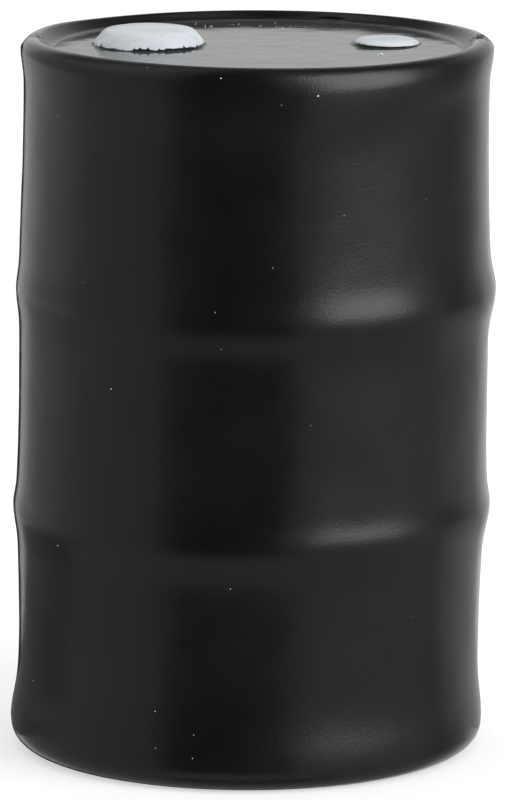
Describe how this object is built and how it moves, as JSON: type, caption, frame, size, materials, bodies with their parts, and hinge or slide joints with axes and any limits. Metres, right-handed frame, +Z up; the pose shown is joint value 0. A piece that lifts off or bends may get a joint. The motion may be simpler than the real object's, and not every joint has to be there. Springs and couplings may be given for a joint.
{
  "type": "foam oil drum stress toy",
  "caption": "Squeezable moulded foam toy in the shape of an oil drum, with two soft hoops, a recessed top inside a rounded lip, and two painted bung swellings.",
  "frame": {"origin": "centre of the flat foot, on the surface the toy stands on", "axes": "+Z up along the drum's axis; -Y is the front; the large bung is at -X and the small bung at +X"},
  "size_m": [0.0572, 0.0572, 0.0862],
  "materials": {
    "skin": "satin black polyurethane foam skin with a fine pebble grain",
    "foam": "matt open foam, seen only at the trimmed filling gate",
    "paint": "brushed-on pale blue-grey paint, satin, with ragged edges"
  },
  "bodies": {
    "root": {"outer_skin": "skin", "foam_core": "foam", "large_bung_paint": "paint", "small_bung_paint": "paint"}
  },
  "joints": []
}
